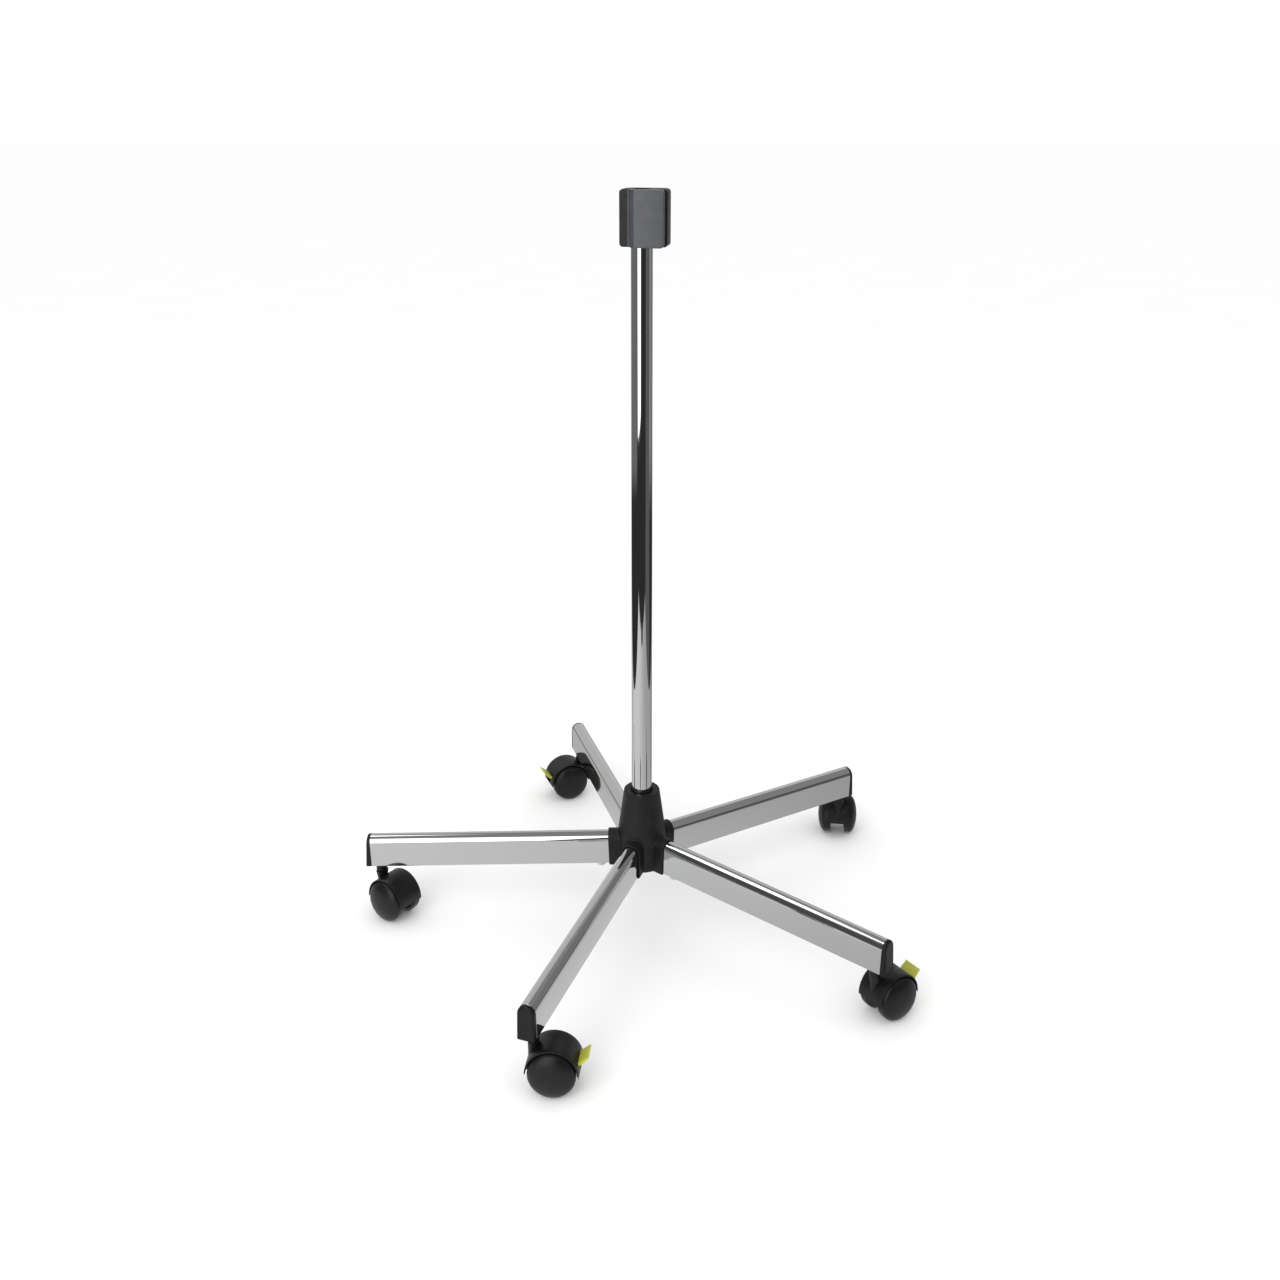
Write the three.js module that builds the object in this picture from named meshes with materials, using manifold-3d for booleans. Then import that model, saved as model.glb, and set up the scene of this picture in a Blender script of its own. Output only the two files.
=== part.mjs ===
// A five-legged rolling stand: a chromed pole on a moulded hub, D-section legs with twin-wheel
// casters (three of them with brake levers), and a clamp head with a socket on top of the pole.
// Units are millimetres. The origin is on the pole's axis at floor level, +Z is up.

import * as THREE from 'three';
import { mergeVertices } from 'three/addons/utils/BufferGeometryUtils.js';
import Module from 'manifold-3d';

const wasm = await Module();
wasm.setup();

// ---------------------------------------------------------------- driving dimensions

const GAP = 0.4; // clearance between fitted pieces
const BEYOND = 1; // how far a cutter runs past the faces it cuts
const SKIN = 0.01; // keeps a cutter off a face that it would only touch

// Pole: a round tube
const POLE_RADIUS = 12.5;
const POLE_WALL = 1.5;
const POLE_ABOVE_LEGS = 12.5; // its lower end, above the legs' underside
const POLE_IN_HEAD = 38; // length that stands inside the head

// Legs: five sloping tubes of a round-topped section
const LEG_COUNT = 5;
const FIRST_LEG_AZIMUTH = 177.9; // degrees, anticlockwise from +X
const LEG_WIDTH = 20;
const LEG_HEIGHT = 40;
const LEG_WALL = 1.5;
const LEG_CORNER = 1.2;
const LEG_SLOPE = 2.23; // degrees down towards the outer end
const LEG_ROOT = 27.5; // where a leg starts, measured along it from the pole's axis
const LEG_END = 342.2; // where its chromed tube ends
const CAP_THICKNESS = 4; // at its top
const CAP_LEAN = 3.4; // how much further its face stands out at the foot
const CAP_CHAMFER = 1.8;
const CAP_PLUG_LENGTH = 26;
const LEG_BOLT_AT = 51;
const BOLT_RADIUS = 3;
const BOLT_HEAD_RADIUS = 5.77;
const BOLT_HEAD_HEIGHT = 4;
const BOLT_FLANGE_RADIUS = 6.6;
const BOLT_FLANGE_THICKNESS = 1.6;
const BOLT_REACH = 16;

// Hub: a tapered body with five arched collars and a tongue inside each leg
const HUB_HEIGHT = 97; // above the legs' underside
const HUB_TOP_RADIUS = 22;
const HUB_BODY_RADIUS = 29.5;
const HUB_SHOULDER = 43;
const HUB_DROP = 2.8; // how far it hangs below the legs' underside
const HUB_MOUTH_CHAMFER = 1.6;
const HUB_EDGE = 1; // chamfer of its upper and lower rims
const COLLAR_WALL = 2.4;
const COLLAR_REACH = 40.5;
const TONGUE_ROOT = 19.5;
const TONGUE_REACH = 62;
const HUB_FLOOR = 4; // thickness of the floor that the pole stands on
const WELL_RADIUS = 18; // recess for the pole's bolt

// Pole bolt, washer and threaded plug
const POLE_BOLT_RADIUS = 5;
const POLE_BOLT_HEAD_RADIUS = 9.8;
const POLE_BOLT_HEAD_HEIGHT = 6.4;
const POLE_BOLT_REACH = 26;
const WASHER_RADIUS = 15;
const WASHER_THICKNESS = 2;
const PLUG_LENGTH = 32;

// Casters: twin domed wheels under a half-round hood, on a stem that trails them
const STEM_FROM_END = 10.15; // along a leg, from the end of its tube in to the stem
const STEM_RADIUS = 4;
const STEM_COLLAR_RADIUS = 6.6;
const STEM_COLLAR_LENGTH = 8.4;
const STEM_IN_LEG = 24.4;
const STEM_IN_HOOD = 19;
const CASTER_TRAIL = 22;
const CASTER_HEADINGS = [-36, -6, 34, 83, 202]; // degrees, the way each caster trails
const BRAKED_CASTERS = [2, 3, 5];
const WHEEL_RADIUS = 26;
const WHEEL_INNER = 9.6; // inner face, from the middle plane of the caster
const WHEEL_SHOULDER = 16.5; // where the tread turns into the domed face
const WHEEL_OUTER = 27;
const WHEEL_RIM = 4;
const WHEEL_HUB_RADIUS = 8;
const WHEEL_RECESS = 5;
const AXLE_RADIUS = 4;
const AXLE_HALF_LENGTH = 20.5;
const HOOD_CLEARANCE = 1.3; // over the wheels
const HOOD_WALL = 1.5;
const HOOD_HALF_WIDTH = 18;
const WEB_HALF_WIDTH = 8;
const AXLE_BOSS_RADIUS = 8;
const STEM_BOSS_RISE = 1; // above the top of the hood
const STEM_BOSS_BOTTOM = 5;
const STEM_BOSS_HALF_WIDTH = 8.3;
const STEM_BOSS_HALF_DEPTH = 7.2;
const STEM_BOSS_TIP = 0.34; // lower end's share of the upper end's size

// Brake lever, which turns on a pin between the web's two cheeks
const PIN_BEYOND_AXLE = 15;
const PIN_ABOVE_AXLE = 4;
const PIN_RADIUS = 1.5;
const LEVER_EYE_RADIUS = 3.6;
const LEVER_HALF_WIDTH = 4.6;
const LEVER_THICKNESS = 3;
const TAB_HALF_WIDTH = 11;
const TAB_ROOT_THICKNESS = 4;
const TAB_TIP_THICKNESS = 1.8;
const TAB_LENGTH = 13.6;
const TAB_ANGLE = 43; // degrees above level, brake released
const TAB_CLEARANCE = 1.2; // between the hood and the middle of the tab's root
const TAB_ROOT_RISE = 10.2; // above the axle
const ARM_BELOW_ROOT = 1.2; // how far below the tab's root its arm ends
const POCKET_HALF_WIDTH = 5.2;
const POCKET_TOP = 11;

// Head: a body bored for the pole, a front jaw, a socket bush and their screws
const HEAD_BOTTOM = 846;
const HEAD_HEIGHT = 63.5;
const HEAD_YAW = -10; // degrees
const HEAD_LEFT = -23.1;
const HEAD_RIGHT = 31.2;
const HEAD_FRONT_WALL = 2.5; // before the pole
const HEAD_BACK_WALL = 3.5;
const HEAD_CORNER = 4;
const HEAD_BACK_CORNER = 7;
const JAW_DEPTH = 12;
const JAW_FOOT = -13.4; // where its hollowed left flank meets the body
const JAW_HOLLOW = 3.6; // radius of that hollow
const JAW_ROUND = 7; // radius of the rounding from the hollow to the front face
const JAW_RIGHT = 28.9;
const JAW_CORNER = 4; // its right corners, seen from the front
const JAW_LEFT_CORNER = 0.5;
const JAW_EDGE = 0.8;
const SOCKET_RADIUS = 8.1;
const BUSH_IN_POLE = 0.6; // how much narrower the bush is than the pole's bore
const SCREW_RADIUS = 2.5;
const SCREW_HEAD_RADIUS = 4.25;
const SCREW_HEAD_HEIGHT = 5;
const SCREW_SINK = 7; // depth of the counterbore that takes a screw's head
const SCREW_IN_JAW = 8;
const SCREW_SIDE = 21; // sideways from the pole's axis
const SCREW_RISE = 18; // above and below the middle of the head
const GRUB_RADIUS = 4;
const GRUB_BELOW_TOP = 12;
const GRUB_SINK = 1; // how far it stands in from the back
const HEX_SOCKET = 0.5; // a hexagon socket's share of its screw's radius
const HEX_SOCKET_DEPTH = 3;

// Faceting
const ROUND = 32;
const SMALL_ROUND = 16;
const ARC = 7; // steps in a half turn of an outline
const HOOD_ARC = 12; // steps in a hood's half turn
const WHEEL_ROUND = 28; // steps round a wheel
const DOME = 5; // steps across a wheel's domed face

// ---------------------------------------------------------------- derived dimensions

const radians = THREE.MathUtils.degToRad;
const axleHeight = WHEEL_RADIUS * Math.cos(Math.PI / WHEEL_ROUND); // a tread facet lies on the floor
const hoodRadius = WHEEL_RADIUS + HOOD_CLEARANCE + HOOD_WALL;
const bossTop = hoodRadius + STEM_BOSS_RISE; // above the axle, as is the collar's top
const collarTop = bossTop + GAP + STEM_COLLAR_LENGTH;
const stemAlongLeg = LEG_END - STEM_FROM_END;
const stemAt = stemAlongLeg * Math.cos(radians(LEG_SLOPE)); // radius of the stems about the pole

// The underside of a leg, carried in to the pole's axis, above the floor.
const hubBase = axleHeight + collarTop + GAP
  + (stemAt + STEM_COLLAR_RADIUS) * Math.tan(radians(LEG_SLOPE));
const poleBottom = hubBase + POLE_ABOVE_LEGS;
const poleTop = HEAD_BOTTOM + POLE_IN_HEAD;
const poleInner = POLE_RADIUS - POLE_WALL;
const headFront = -POLE_RADIUS - HEAD_FRONT_WALL;
const headBack = POLE_RADIUS + HEAD_BACK_WALL;
const bushRadius = poleInner - BUSH_IN_POLE;

// ---------------------------------------------------------------- materials

function finish(colour, roughness, metalness) {
  return new THREE.MeshStandardMaterial({ color: colour, roughness, metalness });
}

const finishes = {
  chrome: finish(0xd8dade, 0.08, 1),
  zinc: finish(0xb9bcc0, 0.35, 1),
  steel: finish(0x9a9da2, 0.3, 1),
  brass: finish(0xb49a5c, 0.3, 1),
  hubPlastic: finish(0x2c2e30, 0.6, 0),
  casterPlastic: finish(0x26282a, 0.6, 0),
  headPlastic: finish(0x2a2b2d, 0.6, 0),
  platePlastic: finish(0x5b5d67, 0.45, 0),
  brakePlastic: finish(0xccd050, 0.45, 0),
};

// ---------------------------------------------------------------- solids

function solid(geometry) {
  const bare = geometry.clone();
  bare.deleteAttribute('normal');
  bare.deleteAttribute('uv');
  const merged = mergeVertices(bare, 1e-4);
  return new wasm.Manifold(new wasm.Mesh({
    numProp: 3,
    vertProperties: new Float32Array(merged.attributes.position.array),
    triVerts: new Uint32Array(merged.index.array),
  }));
}

function geometryOf(body) {
  const mesh = body.getMesh();
  const geometry = new THREE.BufferGeometry();
  geometry.setAttribute('position', new THREE.BufferAttribute(mesh.vertProperties, 3));
  geometry.setIndex(new THREE.BufferAttribute(mesh.triVerts, 1));
  geometry.computeVertexNormals();
  return geometry;
}

// A turned solid about Z from its profile of [radius, height] points.
function turned(profile, segments = ROUND) {
  const points = profile.map(([radius, height]) => new THREE.Vector2(radius, height));
  return solid(new THREE.LatheGeometry(points, segments).rotateX(Math.PI / 2));
}

function rod(radius, bottom, top, segments = SMALL_ROUND) {
  return turned([[0, bottom], [radius, bottom], [radius, top], [0, top]], segments);
}

function box(low, high) {
  const size = high.map((value, i) => value - low[i]);
  const middle = high.map((value, i) => (value + low[i]) / 2);
  return solid(new THREE.BoxGeometry(...size).translate(...middle));
}

// A prism whose outline lies in two axes and which runs along the third, from start to end.
const OUTLINE_YZ = new THREE.Matrix4().makeBasis(
  new THREE.Vector3(0, 1, 0), new THREE.Vector3(0, 0, 1), new THREE.Vector3(1, 0, 0));
const OUTLINE_XZ = new THREE.Matrix4().makeBasis(
  new THREE.Vector3(1, 0, 0), new THREE.Vector3(0, 0, 1), new THREE.Vector3(0, -1, 0));
const OUTLINE_XY = new THREE.Matrix4();

function prism(shape, plane, start, end, options = {}) {
  const geometry = new THREE.ExtrudeGeometry(shape, {
    depth: end - start, bevelEnabled: false, curveSegments: ARC, ...options,
  });
  return solid(geometry.translate(0, 0, start).applyMatrix4(plane));
}

function turnedToY(body) {
  return body.rotate([90, 0, 0]);
}

// ---------------------------------------------------------------- outlines

// The leg's section: flat sides and bottom, half-round top. A positive inset makes it smaller.
function archOutline(inset = 0) {
  const half = LEG_WIDTH / 2 - inset;
  const bottom = inset;
  const spring = LEG_HEIGHT - LEG_WIDTH / 2;
  const corner = Math.max(LEG_CORNER - inset, 0.4);
  const shape = new THREE.Shape();
  shape.moveTo(-half + corner, bottom);
  shape.lineTo(half - corner, bottom);
  shape.lineTo(half, bottom + corner);
  shape.lineTo(half, spring);
  shape.absarc(0, spring, half, 0, Math.PI, false);
  shape.lineTo(-half, bottom + corner);
  return shape;
}

function roundedOutline(left, right, bottom, top, leftCorner, rightCorner = leftCorner) {
  const shape = new THREE.Shape();
  shape.absarc(right - rightCorner, bottom + rightCorner, rightCorner, -Math.PI / 2, 0, false);
  shape.absarc(right - rightCorner, top - rightCorner, rightCorner, 0, Math.PI / 2, false);
  shape.absarc(left + leftCorner, top - leftCorner, leftCorner, Math.PI / 2, Math.PI, false);
  shape.absarc(left + leftCorner, bottom + leftCorner, leftCorner, Math.PI, Math.PI * 1.5, false);
  return shape;
}

// ---------------------------------------------------------------- pole and hub

function poleSolid() {
  return turned([
    [poleInner, poleBottom], [POLE_RADIUS, poleBottom],
    [POLE_RADIUS, poleTop], [poleInner, poleTop], [poleInner, poleBottom],
  ]);
}

// Puts a solid drawn along +X into its leg's place: sloping down and turned to its azimuth.
function alongLeg(body, index) {
  const azimuth = FIRST_LEG_AZIMUTH + index * 360 / LEG_COUNT;
  return body.rotate([0, LEG_SLOPE, 0]).rotate([0, 0, azimuth]).translate([0, 0, hubBase]);
}

function hubSolid() {
  const bottom = hubBase - HUB_DROP;
  const top = hubBase + HUB_HEIGHT;
  const seat = poleBottom - GAP;
  const bore = POLE_RADIUS + GAP;
  let hub = turned([
    [0, bottom], [HUB_BODY_RADIUS - HUB_EDGE, bottom], [HUB_BODY_RADIUS, bottom + HUB_EDGE],
    [HUB_BODY_RADIUS, hubBase + HUB_SHOULDER], [HUB_TOP_RADIUS, top - HUB_EDGE],
    [HUB_TOP_RADIUS - HUB_EDGE, top], [0, top],
  ]);
  const legs = Array.from({ length: LEG_COUNT }, (_, index) => index);
  for (const index of legs) {
    hub = hub.add(alongLeg(prism(archOutline(-COLLAR_WALL), OUTLINE_YZ, 0, COLLAR_REACH), index));
  }
  for (const index of legs) {
    const pocket = prism(archOutline(-GAP), OUTLINE_YZ, LEG_ROOT - GAP, LEG_END);
    hub = hub.subtract(alongLeg(pocket, index));
  }
  for (const index of legs) {
    const tongue = prism(archOutline(LEG_WALL + GAP), OUTLINE_YZ, TONGUE_ROOT, TONGUE_REACH);
    const thread = rod(BOLT_RADIUS + GAP, -LEG_HEIGHT, BOLT_REACH + GAP)
      .translate([LEG_BOLT_AT, 0, 0]);
    hub = hub.add(alongLeg(tongue, index)).subtract(alongLeg(thread, index));
  }
  return hub
    .subtract(turned([
      [0, seat], [bore, seat], [bore, top - HUB_MOUTH_CHAMFER],
      [bore + HUB_MOUTH_CHAMFER, top], [bore + HUB_MOUTH_CHAMFER, top + BEYOND],
      [0, top + BEYOND],
    ]))
    .subtract(rod(POLE_BOLT_RADIUS + GAP, bottom - BEYOND, seat + BEYOND))
    .subtract(rod(WELL_RADIUS, bottom - BEYOND, seat - HUB_FLOOR, ROUND));
}

const washerTop = poleBottom - GAP - HUB_FLOOR - GAP;
const washerBottom = washerTop - WASHER_THICKNESS;

function poleWasherSolid() {
  return rod(WASHER_RADIUS, washerBottom, washerTop, ROUND)
    .subtract(rod(POLE_BOLT_RADIUS + GAP, washerBottom - BEYOND, washerTop + BEYOND));
}

function hexBolt(shankRadius, headRadius, headHeight, reach) {
  return rod(headRadius, -headHeight, 0, 6).add(rod(shankRadius, -headHeight / 2, reach));
}

function poleBoltSolid() {
  const reach = poleBottom - washerBottom + POLE_BOLT_REACH;
  return hexBolt(POLE_BOLT_RADIUS, POLE_BOLT_HEAD_RADIUS, POLE_BOLT_HEAD_HEIGHT, reach)
    .translate([0, 0, washerBottom - GAP]);
}

function polePlugSolid() {
  const bottom = poleBottom + GAP;
  const bore = POLE_BOLT_RADIUS + GAP;
  const outer = poleInner - GAP;
  return turned([
    [bore, bottom], [outer, bottom], [outer, bottom + PLUG_LENGTH],
    [bore, bottom + PLUG_LENGTH], [bore, bottom],
  ], SMALL_ROUND);
}

// ---------------------------------------------------------------- legs

// An upright cutter at the stem's place, in the leg's own frame.
function stemCutter(radius) {
  return rod(radius, -LEG_HEIGHT, LEG_HEIGHT)
    .rotate([0, -LEG_SLOPE, 0])
    .translate([stemAlongLeg, 0, 0]);
}

function legSolid() {
  const tube = prism(archOutline(), OUTLINE_YZ, LEG_ROOT, LEG_END);
  const inside = prism(archOutline(LEG_WALL), OUTLINE_YZ, LEG_ROOT - BEYOND, LEG_END + BEYOND);
  const boltHole = rod(BOLT_RADIUS + GAP, -LEG_WALL, LEG_WALL * 2)
    .translate([LEG_BOLT_AT, 0, 0]);
  const stemHole = rod(STEM_RADIUS + GAP, -LEG_WALL * 2, LEG_WALL * 3)
    .translate([stemAlongLeg, 0, 0]);
  return tube.subtract(inside).subtract(boltHole).subtract(stemHole);
}

function legCapSolid() {
  const inner = LEG_END + GAP;
  const outer = LEG_END + CAP_THICKNESS;
  const faced = prism(archOutline(), OUTLINE_YZ, inner - CAP_THICKNESS, outer - CAP_CHAMFER, {
    bevelEnabled: true, bevelThickness: CAP_CHAMFER, bevelSize: CAP_CHAMFER,
    bevelOffset: -CAP_CHAMFER, bevelSegments: 2,
  });
  const leaning = faced.warp((vertex) => {
    if (vertex[0] > inner) {
      vertex[0] += CAP_LEAN * (1 - vertex[2] / LEG_HEIGHT);
    }
  });
  const behind = box(
    [inner - CAP_THICKNESS * 2, -LEG_WIDTH, -LEG_HEIGHT], [inner, LEG_WIDTH, LEG_HEIGHT * 2]);
  const plug = prism(archOutline(LEG_WALL + GAP), OUTLINE_YZ,
    LEG_END - CAP_PLUG_LENGTH, LEG_END + CAP_THICKNESS / 2);
  return leaning.subtract(behind).add(plug).subtract(stemCutter(STEM_RADIUS + GAP));
}

function legBoltSolid() {
  const flange = rod(BOLT_FLANGE_RADIUS, -BOLT_FLANGE_THICKNESS, 0);
  return hexBolt(BOLT_RADIUS, BOLT_HEAD_RADIUS, BOLT_HEAD_HEIGHT + BOLT_FLANGE_THICKNESS, BOLT_REACH)
    .add(flange)
    .translate([LEG_BOLT_AT, 0, -GAP]);
}

// ---------------------------------------------------------------- casters
// A caster's own frame: origin on the stem's axis at axle height, +X the way it trails,
// Y along the axle, +Z up.

function casterStemSolid() {
  const foot = bossTop - STEM_IN_HOOD;
  const collarBottom = bossTop + GAP;
  const top = collarTop + STEM_IN_LEG;
  return turned([
    [0, foot], [STEM_RADIUS, foot], [STEM_RADIUS, collarBottom],
    [STEM_COLLAR_RADIUS, collarBottom], [STEM_COLLAR_RADIUS, collarTop],
    [STEM_RADIUS, collarTop], [STEM_RADIUS, top], [0, top],
  ], SMALL_ROUND);
}

function axleSolid() {
  return turnedToY(rod(AXLE_RADIUS, -AXLE_HALF_LENGTH, AXLE_HALF_LENGTH))
    .translate([CASTER_TRAIL, 0, 0]);
}

function wheelSolid(side) {
  const bore = AXLE_RADIUS + GAP;
  const rimInside = WHEEL_RADIUS - WHEEL_RIM;
  const recess = WHEEL_INNER + WHEEL_RECESS;
  const boreEnd = AXLE_HALF_LENGTH + GAP;
  const dome = new THREE.EllipseCurve(
    0, WHEEL_SHOULDER, WHEEL_RADIUS, WHEEL_OUTER - WHEEL_SHOULDER, 0, Math.PI / 2);
  const profile = [
    [0, boreEnd], [bore, boreEnd], [bore, WHEEL_INNER], [WHEEL_HUB_RADIUS, WHEEL_INNER],
    [WHEEL_HUB_RADIUS, recess], [rimInside, recess], [rimInside, WHEEL_INNER],
    [WHEEL_RADIUS, WHEEL_INNER],
    ...dome.getPoints(DOME).map((point) => [Math.max(point.x, 0), point.y]),
  ];
  profile[profile.length - 1][0] = 0;
  return turnedToY(turned(profile, WHEEL_ROUND).rotate([0, 0, 180 / WHEEL_ROUND]))
    .rotate([0, 0, side > 0 ? 180 : 0])
    .translate([CASTER_TRAIL, 0, 0]);
}

function hoodSolid(braked) {
  const outer = new THREE.Shape();
  outer.absarc(CASTER_TRAIL, 0, hoodRadius, 0, Math.PI, false);
  const inner = new THREE.Shape();
  inner.absarc(CASTER_TRAIL, 0, hoodRadius - HOOD_WALL, 0, Math.PI, false);
  const round = { curveSegments: HOOD_ARC };
  const hollow = prism(inner, OUTLINE_XZ, -hoodRadius, hoodRadius, round)
    .subtract(prism(outer, OUTLINE_XZ, -WEB_HALF_WIDTH, WEB_HALF_WIDTH, round))
    .translate([0, 0, -SKIN]);
  const boss = rod(STEM_BOSS_HALF_WIDTH, STEM_BOSS_BOTTOM, bossTop);
  const tapered = boss.warp((vertex) => {
    const drop = (bossTop - vertex[2]) / (bossTop - STEM_BOSS_BOTTOM);
    const size = 1 - drop * (1 - STEM_BOSS_TIP);
    vertex[0] *= size * STEM_BOSS_HALF_DEPTH / STEM_BOSS_HALF_WIDTH;
    vertex[1] *= size;
  });
  const axleBoss = turnedToY(rod(AXLE_BOSS_RADIUS, -WEB_HALF_WIDTH, WEB_HALF_WIDTH))
    .translate([CASTER_TRAIL, 0, 0]);
  const axleBore = turnedToY(rod(AXLE_RADIUS + GAP, -HOOD_HALF_WIDTH, HOOD_HALF_WIDTH))
    .translate([CASTER_TRAIL, 0, 0]);
  const stemBore = rod(STEM_RADIUS + GAP, bossTop - STEM_IN_HOOD - GAP, hoodRadius * 2);
  const hood = prism(outer, OUTLINE_XZ, -HOOD_HALF_WIDTH, HOOD_HALF_WIDTH, round)
    .subtract(hollow)
    .add(axleBoss)
    .add(tapered)
    .subtract(axleBore)
    .subtract(stemBore);
  if (!braked) {
    return hood;
  }
  const pocket = box(
    [pinPlace.x - LEVER_EYE_RADIUS - GAP, -POCKET_HALF_WIDTH, -hoodRadius],
    [CASTER_TRAIL + hoodRadius * 2, POCKET_HALF_WIDTH, POCKET_TOP]);
  return hood.subtract(pocket).subtract(pinRod(PIN_RADIUS + GAP, HOOD_HALF_WIDTH));
}

// ---------------------------------------------------------------- brakes

const pinPlace = { x: CASTER_TRAIL + PIN_BEYOND_AXLE, z: PIN_ABOVE_AXLE };

function pinRod(radius, halfLength) {
  return turnedToY(rod(radius, -halfLength, halfLength))
    .translate([pinPlace.x, 0, pinPlace.z]);
}

function brakePinSolid() {
  return pinRod(PIN_RADIUS, WEB_HALF_WIDTH - GAP);
}

// A plate seen from the side between two ends, each [x, z, thickness].
function sidePlate(from, to, halfWidth) {
  const [x1, z1, thick1] = from;
  const [x2, z2, thick2] = to;
  const length = Math.hypot(x2 - x1, z2 - z1);
  const across = { x: -(z2 - z1) / length / 2, z: (x2 - x1) / length / 2 };
  const shape = new THREE.Shape([
    new THREE.Vector2(x1 - across.x * thick1, z1 - across.z * thick1),
    new THREE.Vector2(x2 - across.x * thick2, z2 - across.z * thick2),
    new THREE.Vector2(x2 + across.x * thick2, z2 + across.z * thick2),
    new THREE.Vector2(x1 + across.x * thick1, z1 + across.z * thick1),
  ]);
  return prism(shape, OUTLINE_XZ, -halfWidth, halfWidth);
}

function brakeLeverSolid() {
  const reach = hoodRadius + TAB_CLEARANCE;
  const root = {
    x: CASTER_TRAIL + Math.sqrt(reach ** 2 - TAB_ROOT_RISE ** 2),
    z: TAB_ROOT_RISE,
  };
  const tip = {
    x: root.x + TAB_LENGTH * Math.cos(radians(TAB_ANGLE)),
    z: root.z + TAB_LENGTH * Math.sin(radians(TAB_ANGLE)),
  };
  const tab = sidePlate(
    [root.x, root.z, TAB_ROOT_THICKNESS], [tip.x, tip.z, TAB_TIP_THICKNESS], TAB_HALF_WIDTH);
  const arm = sidePlate(
    [pinPlace.x, pinPlace.z, LEVER_THICKNESS],
    [root.x + ARM_BELOW_ROOT, root.z - ARM_BELOW_ROOT, LEVER_THICKNESS], LEVER_HALF_WIDTH);
  const eye = turnedToY(rod(LEVER_EYE_RADIUS, -LEVER_HALF_WIDTH, LEVER_HALF_WIDTH))
    .translate([pinPlace.x, 0, pinPlace.z]);
  return tab.add(arm).add(eye).subtract(pinRod(PIN_RADIUS + GAP, HOOD_HALF_WIDTH));
}

// ---------------------------------------------------------------- head
// The head's own frame: origin on the pole's axis at the head's underside, -Y to its front.

const bushBottom = POLE_IN_HEAD + GAP * 2;
const screwHeights = [HEAD_HEIGHT / 2 + SCREW_RISE, HEAD_HEIGHT / 2 - SCREW_RISE];
const grubHeight = HEAD_HEIGHT - GRUB_BELOW_TOP;

// A rod along Y from one depth to another.
function depthRod(radius, front, back, x, z, segments = SMALL_ROUND) {
  return turnedToY(rod(radius, -back, -front, segments)).translate([x, 0, z]);
}

function headBodySolid() {
  const front = roundedOutline(HEAD_LEFT, HEAD_RIGHT, 0, HEAD_HEIGHT, HEAD_CORNER);
  const plan = new THREE.Shape();
  plan.moveTo(HEAD_LEFT, headFront);
  plan.lineTo(HEAD_RIGHT, headFront);
  plan.absarc(HEAD_RIGHT - HEAD_BACK_CORNER, headBack - HEAD_BACK_CORNER, HEAD_BACK_CORNER,
    0, Math.PI / 2, false);
  plan.absarc(HEAD_LEFT + HEAD_BACK_CORNER, headBack - HEAD_BACK_CORNER, HEAD_BACK_CORNER,
    Math.PI / 2, Math.PI, false);
  const below = POLE_RADIUS + GAP;
  const above = bushRadius + GAP;
  let body = prism(front, OUTLINE_XZ, -headBack, -headFront)
    .intersect(prism(plan, OUTLINE_XY, 0, HEAD_HEIGHT))
    .subtract(rod(below, -BEYOND, POLE_IN_HEAD + GAP, ROUND))
    .subtract(rod(above, -BEYOND, HEAD_HEIGHT + BEYOND, ROUND))
    .subtract(depthRod(GRUB_RADIUS + GAP, 0, headBack + BEYOND, 0, grubHeight));
  for (const z of screwHeights) {
    body = body
      .subtract(depthRod(SCREW_RADIUS + GAP, headFront - BEYOND, headBack + BEYOND,
        SCREW_SIDE, z))
      .subtract(depthRod(SCREW_HEAD_RADIUS + GAP, headBack - SCREW_SINK, headBack + BEYOND,
        SCREW_SIDE, z));
  }
  return body;
}

function headJawSolid() {
  const back = headFront - GAP;
  const face = headFront - JAW_DEPTH;
  const flank = JAW_FOOT + JAW_HOLLOW;
  const plan = new THREE.Shape();
  plan.moveTo(JAW_RIGHT, back);
  plan.lineTo(JAW_FOOT, back);
  plan.lineTo(JAW_FOOT, back - JAW_EDGE);
  plan.absarc(JAW_FOOT, back - JAW_EDGE - JAW_HOLLOW, JAW_HOLLOW, Math.PI / 2, 0, true);
  plan.absarc(flank + JAW_ROUND, face + JAW_ROUND, JAW_ROUND, Math.PI, Math.PI * 1.5, false);
  plan.lineTo(JAW_RIGHT - JAW_EDGE, face);
  plan.lineTo(JAW_RIGHT, face + JAW_EDGE);
  const front = roundedOutline(JAW_FOOT, JAW_RIGHT, 0, HEAD_HEIGHT, JAW_LEFT_CORNER,
    JAW_CORNER);
  let jaw = prism(plan, OUTLINE_XY, 0, HEAD_HEIGHT)
    .intersect(prism(front, OUTLINE_XZ, -headBack, -face + BEYOND));
  for (const z of screwHeights) {
    jaw = jaw.subtract(depthRod(
      SCREW_RADIUS + GAP, headFront - SCREW_IN_JAW - GAP * 2, 0, SCREW_SIDE, z));
  }
  return jaw;
}

function headBushSolid() {
  return turned([
    [SOCKET_RADIUS, bushBottom], [bushRadius, bushBottom], [bushRadius, HEAD_HEIGHT],
    [SOCKET_RADIUS, HEAD_HEIGHT], [SOCKET_RADIUS, bushBottom],
  ]).subtract(depthRod(GRUB_RADIUS + GAP, 0, headBack, 0, grubHeight));
}

function hexSocket(radius, back, x, z) {
  return depthRod(radius * HEX_SOCKET, back - HEX_SOCKET_DEPTH, back + BEYOND, x, z, 6);
}

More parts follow.
